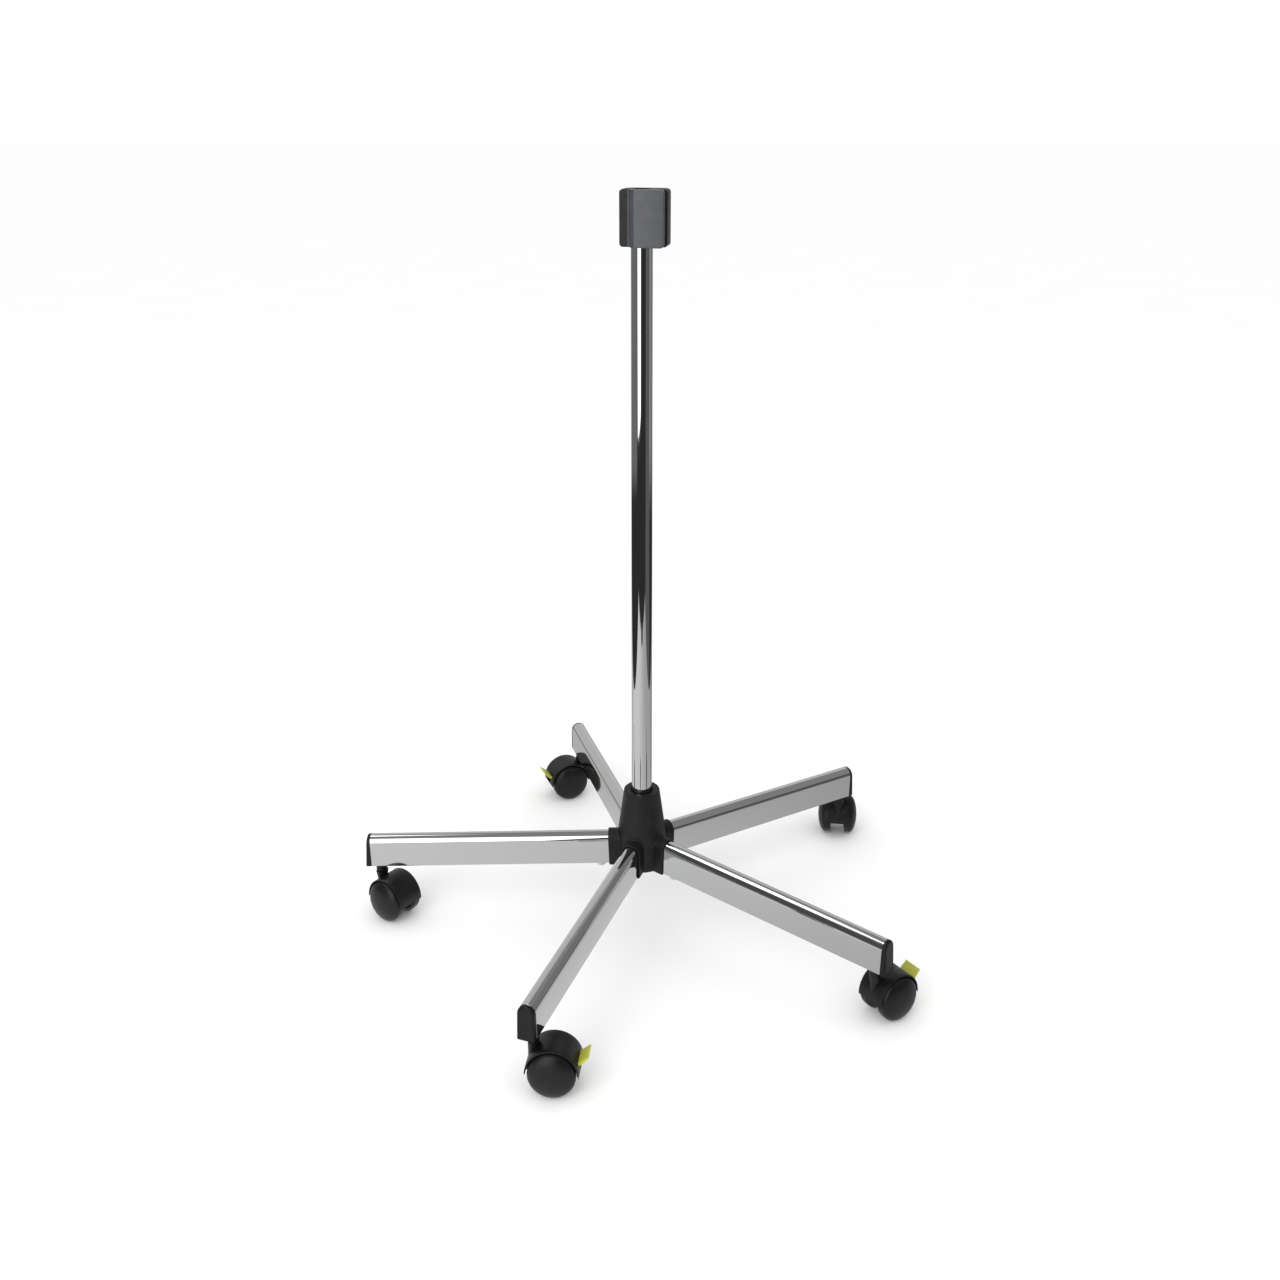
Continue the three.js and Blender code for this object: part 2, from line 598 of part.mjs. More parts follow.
function headScrewSolid(z) {
  const screwBack = headBack - SCREW_SINK + SCREW_HEAD_HEIGHT + GAP;
  const front = headFront - SCREW_IN_JAW;
  return depthRod(SCREW_HEAD_RADIUS, screwBack - SCREW_HEAD_HEIGHT, screwBack, SCREW_SIDE, z)
    .add(depthRod(SCREW_RADIUS, front, screwBack - SCREW_HEAD_HEIGHT / 2, SCREW_SIDE, z))
    .subtract(hexSocket(SCREW_HEAD_RADIUS, screwBack, SCREW_SIDE, z));
}

function headGrubScrewSolid() {
  const front = SOCKET_RADIUS + GAP;
  const back = headBack - GRUB_SINK;
  return depthRod(GRUB_RADIUS, front, back, 0, grubHeight)
    .subtract(hexSocket(GRUB_RADIUS, back, 0, grubHeight));
}

// ---------------------------------------------------------------- assembly

const stand = new THREE.Group();

function place(name, body, material, parent = stand) {
  const mesh = new THREE.Mesh(geometryOf(body), material);
  mesh.name = name;
  parent.add(mesh);
}

place('pole', poleSolid(), finishes.chrome);
place('hub', hubSolid(), finishes.hubPlastic);
place('pole_washer', poleWasherSolid(), finishes.zinc);
place('pole_bolt', poleBoltSolid(), finishes.zinc);
place('pole_plug', polePlugSolid(), finishes.steel);

for (let index = 0; index < LEG_COUNT; index += 1) {
  const number = index + 1;
  const azimuth = radians(FIRST_LEG_AZIMUTH + index * 360 / LEG_COUNT);
  const heading = new THREE.Group();
  heading.position.z = hubBase;
  heading.rotation.z = azimuth;
  const leg = new THREE.Group();
  leg.rotation.y = radians(LEG_SLOPE);
  heading.add(leg);
  stand.add(heading);
  place(`leg_${number}`, legSolid(), finishes.chrome, leg);
  place(`leg_cap_${number}`, legCapSolid(), finishes.hubPlastic, leg);
  place(`leg_bolt_${number}`, legBoltSolid(), finishes.zinc, leg);

  const caster = new THREE.Group();
  caster.position.set(stemAt * Math.cos(azimuth), stemAt * Math.sin(azimuth), axleHeight);
  caster.rotation.z = radians(CASTER_HEADINGS[index]);
  stand.add(caster);
  const braked = BRAKED_CASTERS.includes(number);
  place(`caster_stem_${number}`, casterStemSolid(), finishes.steel, caster);
  place(`caster_hood_${number}`, hoodSolid(braked), finishes.casterPlastic, caster);
  place(`caster_axle_${number}`, axleSolid(), finishes.steel, caster);
  place(`wheel_left_${number}`, wheelSolid(1), finishes.casterPlastic, caster);
  place(`wheel_right_${number}`, wheelSolid(-1), finishes.casterPlastic, caster);
  if (braked) {
    place(`brake_pin_${number}`, brakePinSolid(), finishes.steel, caster);
    place(`brake_lever_${number}`, brakeLeverSolid(), finishes.brakePlastic, caster);
  }
}

const head = new THREE.Group();
head.position.z = HEAD_BOTTOM;
head.rotation.z = radians(HEAD_YAW);
stand.add(head);
place('head_body', headBodySolid(), finishes.headPlastic, head);
place('head_jaw', headJawSolid(), finishes.platePlastic, head);
place('head_bush', headBushSolid(), finishes.brass, head);
place('head_screw_upper', headScrewSolid(screwHeights[0]), finishes.steel, head);
place('head_screw_lower', headScrewSolid(screwHeights[1]), finishes.steel, head);
place('head_grub_screw', headGrubScrewSolid(), finishes.steel, head);

export default stand;
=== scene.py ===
"""A five-legged rolling stand: chromed pole and legs, black moulded hub, twin-wheel casters, clamp head."""

import math

import bmesh
import bpy
from mathutils import Matrix, Vector


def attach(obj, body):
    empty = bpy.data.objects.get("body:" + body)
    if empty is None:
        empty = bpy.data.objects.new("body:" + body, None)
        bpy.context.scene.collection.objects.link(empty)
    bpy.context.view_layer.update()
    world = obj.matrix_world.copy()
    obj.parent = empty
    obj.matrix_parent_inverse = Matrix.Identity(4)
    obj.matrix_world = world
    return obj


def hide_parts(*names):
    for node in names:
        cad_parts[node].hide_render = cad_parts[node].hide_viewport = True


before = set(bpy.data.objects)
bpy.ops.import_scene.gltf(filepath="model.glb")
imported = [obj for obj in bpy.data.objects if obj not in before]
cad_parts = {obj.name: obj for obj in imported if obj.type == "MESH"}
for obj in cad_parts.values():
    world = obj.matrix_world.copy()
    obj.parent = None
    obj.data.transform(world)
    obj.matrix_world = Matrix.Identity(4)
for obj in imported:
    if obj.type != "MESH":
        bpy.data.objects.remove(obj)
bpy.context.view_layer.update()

MM = 0.001

# ------------------------------------------------------------ dimensions, in mm, as in the CAD source

POLE_RADIUS, POLE_INNER, POLE_BOTTOM, POLE_TOP = 12.5, 11.0, 90.5, 884.0
LEG_COUNT, FIRST_LEG_AZIMUTH, LEG_SLOPE, LEG_BASE_HEIGHT = 5, 177.9, 2.23, 78.01
LEG_WIDTH, LEG_HEIGHT, LEG_WALL, LEG_CORNER = 20.0, 40.0, 1.5, 1.2
LEG_ROOT, LEG_END, CAP_THICKNESS, CAP_LEAN, CAP_ROUND, CAP_PLUG = 27.5, 342.2, 4.0, 3.4, 1.8, 26.0
LEG_BOLT_AT = 51.0
HUB_TOP, HUB_BOTTOM, HUB_SHOULDER = 175.0, 75.2, 121.0
HUB_TOP_RADIUS, HUB_BODY_RADIUS, HUB_MOUTH = 22.0, 29.5, 1.6
COLLAR_WALL, COLLAR_REACH, WELL_RADIUS, WELL_TOP, HUB_BOLT_HOLE = 2.4, 40.5, 18.0, 86.1, 5.4
WASHER_BOTTOM, WASHER_TOP, WASHER_HOLE, WASHER_RADIUS = 83.7, 85.7, 5.6, 15.0
STEM_AT, STEM_RADIUS, STEM_COLLAR_RADIUS, STEM_COLLAR_TOP = 331.8, 4.0, 6.6, 38.6
WHEEL_NOMINAL, WHEEL_SIDES = 26.0, 28
AXLE_HEIGHT = WHEEL_NOMINAL * math.cos(math.pi / WHEEL_SIDES)
CASTER_TRAIL, CASTER_HEADINGS, BRAKED = 22.0, (-36, -6, 34, 83, 202), (2, 3, 5)
WHEEL_RADIUS, WHEEL_INNER, WHEEL_SHOULDER, WHEEL_OUTER = AXLE_HEIGHT, 9.6, 16.5, 26.74
WHEEL_RIM, WHEEL_HUB, WHEEL_RECESS, WHEEL_BORE_END, AXLE_RADIUS = 4.0, 8.0, 5.0, 21.0, 4.0
HOOD_RADIUS, HOOD_WALL, HOOD_HALF, WEB_HALF = 28.8, 1.5, 18.0, 8.0
BOSS_TOP, BOSS_BOTTOM, BOSS_HALF_WIDTH, BOSS_OUT, BOSS_IN, BOSS_TIP = 29.8, 4.0, 8.3, 5.0, 7.2, 0.22
PIN_X, PIN_Z, PIN_RADIUS = CASTER_TRAIL + 15.0, 4.0, 1.5
TAB_HALF, TAB_LENGTH, TAB_ANGLE, TAB_RISE, TAB_CLEAR = 11.0, 13.6, 43.0, 10.2, 1.2
HEAD_BOTTOM, HEAD_HEIGHT, HEAD_YAW = 846.0, 63.5, -10.0
HEAD_LEFT, HEAD_RIGHT, HEAD_FRONT, HEAD_BACK = -23.1, 31.2, -15.0, 16.0
JAW_FACE, JAW_FOOT, JAW_RIGHT, JAW_HOLLOW, JAW_ROUND = -27.0, -13.4, 28.9, 3.6, 7.0
SOCKET_RADIUS, BUSH_RADIUS, BUSH_BOTTOM = 8.1, 10.4, 38.8
SCREW_SIDE, SCREW_HEIGHTS, SCREW_HEAD_RADIUS = 21.0, (49.75, 13.75), 4.25
GRUB_HEIGHT, GRUB_RADIUS = 51.5, 4.0
HEAD_CORNER, HEAD_EDGE, BEYOND = 4.0, 0.4, 1.0

# the camera, in metres and degrees
CAMERA_PLACE, CAMERA_TILT = (-0.00126, -1.520, 0.9937), 75.68
CAMERA_LENS, CAMERA_SHIFT = 37.84, (-0.0006, -0.1457)

# ------------------------------------------------------------ mesh helpers


def arc(x, y, radius, start, end, steps):
    """Points on an arc, in degrees, both ends included."""
    found = []
    for k in range(steps + 1):
        a = math.radians(start + (end - start) * k / steps)
        found.append((x + radius * math.cos(a), y + radius * math.sin(a)))
    return found


def offset(points, distance):
    """The closed anticlockwise outline moved inwards by a small distance."""
    moved = []
    count = len(points)
    for k in range(count):
        before, here, after = (Vector(points[j % count]) for j in (k - 1, k, k + 1))
        a, b = (here - before), (after - here)
        a = a.normalized() if a.length > 1e-9 else b.normalized()
        b = b.normalized() if b.length > 1e-9 else a
        inward = Vector((-a.y - b.y, a.x + b.x)).normalized()
        share = max(inward.dot(Vector((-a.y, a.x))), 0.5)
        moved.append(tuple(here + inward * (distance / share)))
    return moved


def loft(rings, ends=True, loop=False):
    """A mesh through rings of equally many points. Its ends are closed, or it closes on itself as a loop."""
    count, total = len(rings[0]), len(rings)
    points = [Vector(p) for ring in rings for p in ring]
    faces = []
    for k in range(total if loop else total - 1):
        a, b = k * count, (k + 1) % total * count
        faces += [(a + i, a + (i + 1) % count, b + (i + 1) % count, b + i) for i in range(count)]
    if ends and not loop:
        faces += [tuple(reversed(range(count))), tuple(range((total - 1) * count, total * count))]
    mesh = bpy.data.meshes.new("shape")
    mesh.from_pydata(points, [], faces)
    return tidied(mesh)


def tidied(mesh):
    """Merges doubled points and turns every face outwards."""
    work = bmesh.new()
    work.from_mesh(mesh)
    bmesh.ops.remove_doubles(work, verts=work.verts, dist=1e-5)
    bmesh.ops.recalc_face_normals(work, faces=work.faces)
    work.to_mesh(mesh)
    work.free()
    return mesh


def turned(profile, segments=64, loop=False):
    """A turned shape about Z from its [radius, height] profile. A radius of nearly 0 closes it."""
    rings = []
    for radius, height in profile:
        ring = arc(0, 0, max(radius, 1e-6), 0, 360 - 360 / segments, segments - 1)
        rings.append([(x, y, height) for x, y in ring])
    return loft(rings, ends=False, loop=loop)


def rod(radius, bottom, top, edge=0.3, segments=48):
    return turned([(0, bottom), (radius - edge, bottom), (radius, bottom + edge),
                   (radius, top - edge), (radius - edge, top), (0, top)], segments)


def hexagon(half_width, low, high, chamfer):
    """A hexagon head that points down from high to low, its lower corners turned to a cone."""
    def ring(height, limit=math.inf):
        found = []
        for k in range(60):
            a = math.radians(6 * k)
            flat = half_width / math.cos((a + math.pi / 6) % (math.pi / 3) - math.pi / 6)
            radius = min(flat, limit)
            found.append((radius * math.cos(a), radius * math.sin(a), height))
        return found
    rings = [ring(high), ring(low + 1.2 * chamfer)]
    rings += [ring(low + chamfer * (1 - k / 4), half_width * (1.15 - 0.2 * k / 4)) for k in range(5)]
    return loft(rings)


def joined(*meshes):
    work = bmesh.new()
    for mesh in meshes:
        work.from_mesh(mesh)
    made = bpy.data.meshes.new("shape")
    work.to_mesh(made)
    work.free()
    return made


def moved(mesh, matrix):
    made = mesh.copy()
    made.transform(matrix)
    if matrix.is_negative:
        made.flip_normals()
    return made


def with_modifiers(mesh, *steps):
    """The mesh after some modifiers, each given as its type and its settings."""
    thing = bpy.data.objects.new("work", mesh)
    bpy.context.scene.collection.objects.link(thing)
    helpers = []
    for kind, settings in steps:
        modifier = thing.modifiers.new(kind, kind)
        for key, value in settings.items():
            if key == "object":
                helper = bpy.data.objects.new("helper", value)
                bpy.context.scene.collection.objects.link(helper)
                helpers.append(helper)
                value = helper
            setattr(modifier, key, value)
    bpy.context.view_layer.update()
    graph = bpy.context.evaluated_depsgraph_get()
    made = bpy.data.meshes.new_from_object(thing.evaluated_get(graph))
    for helper in helpers + [thing]:
        bpy.data.objects.remove(helper)
    return made


def cut(mesh, *cutters):
    return with_modifiers(mesh, *[("BOOLEAN", dict(operation="DIFFERENCE", solver="EXACT", object=c))
                                  for c in cutters])


def united(mesh, *others):
    return with_modifiers(mesh, *[("BOOLEAN", dict(operation="UNION", solver="EXACT", object=c))
                                  for c in others])


def turn(degrees, axis):
    return Matrix.Rotation(math.radians(degrees), 4, axis)


def shift(x, y, z):
    return Matrix.Translation((x, y, z))


ALONG_Y = turn(-90, "X")


def piece(name, mesh, place, material, body, nodes, sharp=32):
    """Puts a shape, drawn in mm, in its place as a named piece that stands for CAD nodes."""
    made = moved(mesh, Matrix.Diagonal((MM, MM, MM, 1)) @ place)
    made.name = name
    made.shade_smooth()
    made.set_sharp_from_angle(angle=math.radians(sharp))
    made.materials.clear()
    made.materials.append(material)
    thing = bpy.data.objects.new(name, made)
    bpy.context.scene.collection.objects.link(thing)
    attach(thing, body)
    if nodes:
        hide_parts(*nodes)
    return thing


# ------------------------------------------------------------ materials


class Finish:
    """A node material around one Principled shader, with its patterns in the object's own metres."""

    def __init__(self, name, colour, roughness, metallic=0.0, **constants):
        self.material = bpy.data.materials.new(name)
        self.material.use_nodes = True
        self.tree = self.material.node_tree
        self.shader = self.tree.nodes["Principled BSDF"]
        self.place = self.tree.nodes.new("ShaderNodeTexCoord").outputs["Object"]
        self.shader.inputs["Base Color"].default_value = (*colour, 1)
        self.shader.inputs["Roughness"].default_value = roughness
        self.shader.inputs["Metallic"].default_value = metallic
        for key, value in constants.items():
            self.shader.inputs[key.replace("_", " ")].default_value = value
        self.height = None

    def stretched(self, scale):
        node = self.tree.nodes.new("ShaderNodeMapping")
        node.inputs["Scale"].default_value = scale
        self.tree.links.new(self.place, node.inputs["Vector"])
        return node.outputs["Vector"]

    def noise(self, scale, detail=2.0, roughness=0.5, stretch=None):
        node = self.tree.nodes.new("ShaderNodeTexNoise")
        node.inputs["Scale"].default_value = scale
        node.inputs["Detail"].default_value = detail
        node.inputs["Roughness"].default_value = roughness
        self.tree.links.new(self.stretched(stretch) if stretch else self.place, node.inputs["Vector"])
        return node.outputs["Fac"]

    def cells(self, scale):
        node = self.tree.nodes.new("ShaderNodeTexVoronoi")
        node.inputs["Scale"].default_value = scale
        self.tree.links.new(self.place, node.inputs["Vector"])
        return node.outputs["Distance"]

    def levels(self, value, low, high, to_low, to_high):
        node = self.tree.nodes.new("ShaderNodeMapRange")
        node.interpolation_type = "SMOOTHSTEP"
        for key, number in zip(("From Min", "From Max", "To Min", "To Max"), (low, high, to_low, to_high)):
            node.inputs[key].default_value = number
        self.tree.links.new(value, node.inputs["Value"])
        return node.outputs["Result"]

    def mixed(self, share, first, second):
        node = self.tree.nodes.new("ShaderNodeMix")
        node.data_type = "RGBA"
        self.tree.links.new(share, node.inputs["Factor"])
        for key, value in (("A", first), ("B", second)):
            socket = next(s for s in node.inputs if s.name == key and s.type == "RGBA")
            if isinstance(value, bpy.types.NodeSocket):
                self.tree.links.new(value, socket)
            else:
                socket.default_value = (*value, 1)
        return next(s for s in node.outputs if s.type == "RGBA")

    def math(self, kind, first, second=None):
        node = self.tree.nodes.new("ShaderNodeMath")
        node.operation = kind
        for socket, value in zip(node.inputs, (first, second)):
            if isinstance(value, bpy.types.NodeSocket):
                self.tree.links.new(value, socket)
            elif value is not None:
                socket.default_value = value
        return node.outputs["Value"]

    def set(self, key, value):
        self.tree.links.new(value, self.shader.inputs[key])

    def bump(self, value, distance, strength=1.0):
        node = self.tree.nodes.new("ShaderNodeBump")
        node.inputs["Distance"].default_value = distance
        node.inputs["Strength"].default_value = strength
        self.tree.links.new(value, node.inputs["Height"])
        if self.height:
            self.tree.links.new(self.height, node.inputs["Normal"])
        self.height = node.outputs["Normal"]
        self.tree.links.new(self.height, self.shader.inputs["Normal"])


def chrome_finish(name, run):
    """Polished chrome plate. run is the way that its faint drawing lines lie, as a stretch of the noise."""
    f = Finish(name, (0.62, 0.625, 0.63), 0.05, 1.0)
    haze = f.noise(9, 3)
    f.set("Roughness", f.levels(haze, 0.35, 0.75, 0.025, 0.075))
    f.set("Base Color", f.mixed(f.noise(14, 4), (0.60, 0.607, 0.617), (0.645, 0.645, 0.642)))
    f.bump(f.noise(60, 2, stretch=run), 0.00002, 0.35)
    return f.material


def plastic_finish(name, dark, light, low, high, grain, depth, gloss=0.29):
    """Moulded plastic with a fine spark-eroded grain."""
    f = Finish(name, dark, low, 0.0, IOR=1.5, Specular_IOR_Level=gloss)
    cloud = f.noise(70, 4, 0.6)
    speck = f.noise(grain * 0.8, 2, 0.6)
    share = f.math("MULTIPLY", f.math("ADD", cloud, speck), 0.5)
    f.set("Base Color", f.mixed(f.levels(share, 0.38, 0.62, 0, 1), dark, light))
    f.set("Roughness", f.levels(f.noise(grain * 0.3, 3), 0.3, 0.7, low, high))
    f.bump(f.noise(grain, 2, 0.7), depth, 0.7)
    f.bump(f.cells(grain * 0.55), depth * 0.8, 0.5)
    return f.material


def metal_finish(name, first, second, low, high, scale=900):
    """Plated or turned steel and brass with a slightly cloudy surface."""
    f = Finish(name, first, low, 1.0)
    f.set("Base Color", f.mixed(f.levels(f.noise(260, 4, 0.6), 0.35, 0.65, 0, 1), first, second))
    f.set("Roughness", f.levels(f.noise(scale, 3), 0.3, 0.7, low, high))
    f.bump(f.noise(scale * 2.5, 2), 0.00002, 0.5)
    return f.material


CHROME_POLE = chrome_finish("chrome_pole", (6, 6, 0.35))
CHROME_LEG = chrome_finish("chrome_leg", (1, 1, 1))
HUB_PLASTIC = plastic_finish("hub_plastic", (0.0054, 0.0060, 0.0068), (0.0095, 0.0102, 0.0114),
                             0.42, 0.54, 1500, 0.00006)
CAP_PLASTIC = plastic_finish("cap_plastic", (0.0030, 0.0034, 0.0040), (0.0052, 0.0057, 0.0065),
                             0.36, 0.46, 1800, 0.00004, 0.30)
CASTER_PLASTIC = plastic_finish("caster_plastic", (0.0028, 0.0033, 0.0039), (0.0052, 0.0058, 0.0066),
                                0.36, 0.46, 1500, 0.00006, 0.38)
WHEEL_PLASTIC = plastic_finish("wheel_plastic", (0.0026, 0.0031, 0.0037), (0.0054, 0.0060, 0.0068),
                               0.34, 0.44, 1150, 0.00009, 0.36)
HEAD_PLASTIC = plastic_finish("head_plastic", (0.0080, 0.0084, 0.0092), (0.0125, 0.0130, 0.0142),
                              0.38, 0.50, 1700, 0.00004)
PLATE_PLASTIC = plastic_finish("plate_plastic", (0.038, 0.040, 0.048), (0.054, 0.056, 0.066),
                               0.30, 0.38, 1900, 0.00003, 0.62)
ZINC = metal_finish("zinc_plate", (0.66, 0.67, 0.68), (0.78, 0.79, 0.78), 0.28, 0.45)
STEEL = metal_finish("turned_steel", (0.42, 0.43, 0.45), (0.55, 0.56, 0.58), 0.25, 0.42)
BRASS = metal_finish("turned_brass", (0.62, 0.48, 0.22), (0.74, 0.60, 0.32), 0.22, 0.38)


def brake_finish():
    """Lime yellow, slightly see-through plastic, clearer at its thin end."""
    f = Finish("brake_plastic", (0.41, 0.42, 0.048), 0.36, 0.0, IOR=1.49, Subsurface_Weight=0.35,
               Subsurface_Scale=0.004)
    f.shader.inputs["Subsurface Radius"].default_value = (1.0, 1.0, 0.3)
    f.set("Base Color", f.mixed(f.noise(220, 3), (0.36, 0.375, 0.038), (0.46, 0.475, 0.068)))
    f.set("Roughness", f.levels(f.noise(500, 2), 0.3, 0.7, 0.30, 0.44))
    f.bump(f.noise(900, 2), 0.00003, 0.5)
    return f.material


BRAKE_PLASTIC = brake_finish()

# ------------------------------------------------------------ pole, legs and hub

def circle_rings(sizes, segments):
    return [[(x, y, z) for x, y in arc(0, 0, r, 0, 360 - 360 / segments, segments - 1)] for r, z in sizes]


pole_shape = loft(circle_rings([
    (POLE_RADIUS - 0.4, POLE_BOTTOM), (POLE_RADIUS, POLE_BOTTOM + 0.4), (POLE_RADIUS, POLE_TOP - 0.4),
    (POLE_RADIUS - 0.4, POLE_TOP), (POLE_INNER, POLE_TOP), (POLE_INNER, POLE_BOTTOM)], 128), loop=True)
piece("pole_tube", pole_shape, Matrix(), CHROME_POLE, "frame", ["pole"], 40)


def arch(inset=0.0, steps=40):
    """The leg's section: flat sides and bottom, half-round top, as (sideways, up) points."""
    half = LEG_WIDTH / 2 - inset
    corner = max(LEG_CORNER - inset, 0.3)
    return (arc(half - corner, inset + corner, corner, -90, 0, 5)
            + arc(0, LEG_HEIGHT - LEG_WIDTH / 2, half, 0, 180, steps)
            + arc(-half + corner, inset + corner, corner, 180, 270, 5))


def arch_ring(along, inset, steps=40):
    return [(along, y, z) for y, z in arch(inset, steps)]


leg_shape = loft([
    arch_ring(LEG_ROOT, 0.15), arch_ring(LEG_ROOT + 0.15, 0), arch_ring(LEG_END - 0.15, 0),
    arch_ring(LEG_END, 0.15), arch_ring(LEG_END, LEG_WALL), arch_ring(LEG_ROOT, LEG_WALL)], loop=True)

face = LEG_END + CAP_THICKNESS
cap_rings = [arch_ring(LEG_END - CAP_PLUG, 2.3), arch_ring(LEG_END + 0.22, 1.9),
             arch_ring(LEG_END + 0.22, 0.3), arch_ring(LEG_END + 0.45, 0.05)]
for k in range(7):
    a = math.radians(15 * k)
    cap_rings.append(arch_ring(face - CAP_ROUND + CAP_ROUND * math.sin(a), CAP_ROUND * (1 - math.cos(a))))
cap_rings += [arch_ring(face - 0.32, CAP_ROUND + 0.35), arch_ring(face - 0.32, CAP_ROUND + 0.6),
              arch_ring(face - 0.08, CAP_ROUND + 0.85), arch_ring(face - 0.08, 5.0)]
cap_shape = loft(cap_rings)
# the cap's outer face leans out towards its foot
for vertex in cap_shape.vertices:
    if vertex.co.x > LEG_END + 0.5:
        vertex.co.x += CAP_LEAN * (1 - vertex.co.z / LEG_HEIGHT)

bolt_shape = joined(hexagon(5.0, -6.0, -1.9, 0.8), rod(6.6, -2.0, -0.35, 0.3))



def leg_azimuth(index):
    return FIRST_LEG_AZIMUTH + 360 / LEG_COUNT * index


def leg_place(index):
    return shift(0, 0, LEG_BASE_HEIGHT) @ turn(leg_azimuth(index), "Z") @ turn(LEG_SLOPE, "Y")


for index in range(LEG_COUNT):
    number = index + 1
    place = leg_place(index)
    piece(f"leg_tube_{number}", leg_shape, place, CHROME_LEG, "frame", [f"leg_{number}"], 25)
    piece(f"leg_end_{number}", cap_shape, place, CAP_PLASTIC, "frame",
          [f"leg_cap_{number}"], 30)
    piece(f"leg_screw_{number}", bolt_shape, place @ shift(LEG_BOLT_AT, 0, 0) @ turn(17 * index, "Z"),
          ZINC, "frame", [f"leg_bolt_{number}"], 30)


def hub_mesh():
    """The hub: body and collars melted together with soft fillets, then cut for the legs, pole and bolt."""
    body = turned([(0, HUB_BOTTOM), (HUB_BODY_RADIUS, HUB_BOTTOM), (HUB_BODY_RADIUS, HUB_SHOULDER),
                   (HUB_TOP_RADIUS, HUB_TOP), (0, HUB_TOP)], 96)
    solids = [body]
    past = 5
    bore, seat = POLE_RADIUS + 0.3, POLE_BOTTOM - 0.4
    mouth, lip = POLE_RADIUS + 0.5, POLE_RADIUS + 0.9 + HUB_MOUTH
    cutters = [turned([(0, HUB_BOTTOM - past), (WELL_RADIUS, HUB_BOTTOM - past), (WELL_RADIUS, WELL_TOP),
                       (HUB_BOLT_HOLE, WELL_TOP), (HUB_BOLT_HOLE, seat), (bore, seat),
                       (bore, HUB_TOP - HUB_MOUTH - 0.4), (mouth, HUB_TOP - HUB_MOUTH),
                       (mouth + HUB_MOUTH, HUB_TOP - 0.2), (lip, HUB_TOP), (lip, HUB_TOP + past),
                       (0, HUB_TOP + past)], 96)]
    for index in range(LEG_COUNT):
        place = leg_place(index)
        sleeve = loft([arch_ring(5, -COLLAR_WALL, 24), arch_ring(COLLAR_REACH, -COLLAR_WALL, 24)])
        pocket = loft([arch_ring(LEG_ROOT - 0.4, -0.25, 32), arch_ring(COLLAR_REACH - 0.6, -0.25, 32),
                       arch_ring(COLLAR_REACH, -0.7, 32), arch_ring(COLLAR_REACH + 6, -0.7, 32)])
        solids.append(moved(sleeve, place))
        cutters.append(moved(pocket, place))
    soft = with_modifiers(joined(*solids), ("REMESH", dict(mode="VOXEL", voxel_size=0.5)),
                          ("SMOOTH", dict(factor=0.5, iterations=12)))
    return cut(soft, *cutters)


piece("hub_casting", hub_mesh(), Matrix(), HUB_PLASTIC, "frame", ["hub"], 38)

washer_shape = loft(circle_rings([
    (WASHER_HOLE, WASHER_BOTTOM), (WASHER_RADIUS - 0.3, WASHER_BOTTOM), (WASHER_RADIUS, WASHER_BOTTOM + 0.3),
    (WASHER_RADIUS, WASHER_TOP - 0.3), (WASHER_RADIUS - 0.3, WASHER_TOP), (WASHER_HOLE, WASHER_TOP)],
    64), loop=True)
piece("hub_washer", washer_shape, Matrix(), ZINC, "frame", ["pole_washer"])
pole_bolt_shape = united(hexagon(8.5, 77.1, 83.3, 1.0), rod(5, 81, 115, 0.6))
piece("hub_bolt", pole_bolt_shape, turn(11, "Z"), ZINC, "frame", ["pole_bolt"])

# ------------------------------------------------------------ casters
# A caster's own frame: origin on the stem's axis at axle height, +X the way it trails, Y along the axle.


def wheel_mesh():
    """A wheel whose domed face looks along +Y."""
    hub_edge = WHEEL_INNER + WHEEL_RECESS
    rim = WHEEL_RADIUS - WHEEL_RIM
    bore = AXLE_RADIUS + 0.4
    profile = [(0, WHEEL_BORE_END), (bore, WHEEL_BORE_END), (bore, WHEEL_INNER + 0.3),
               (AXLE_RADIUS + 0.7, WHEEL_INNER), (WHEEL_HUB - 0.3, WHEEL_INNER),
               (WHEEL_HUB, WHEEL_INNER + 0.3), (WHEEL_HUB + 0.2, hub_edge), (rim - 0.2, hub_edge),
               (rim, WHEEL_INNER + 0.3), (rim + 0.3, WHEEL_INNER), (WHEEL_RADIUS - 0.6, WHEEL_INNER),
               (WHEEL_RADIUS - 0.15, WHEEL_INNER + 0.2), (WHEEL_RADIUS, WHEEL_INNER + 0.7),
               (WHEEL_RADIUS, WHEEL_SHOULDER - 2)]
    dome, steps = WHEEL_OUTER - WHEEL_SHOULDER, 24
    for k in range(steps + 1):
        a = math.radians(90 * k / steps)
        profile.append((WHEEL_RADIUS * math.cos(a), WHEEL_SHOULDER + dome * math.sin(a)))
    return moved(turned(profile, 112), ALONG_Y)


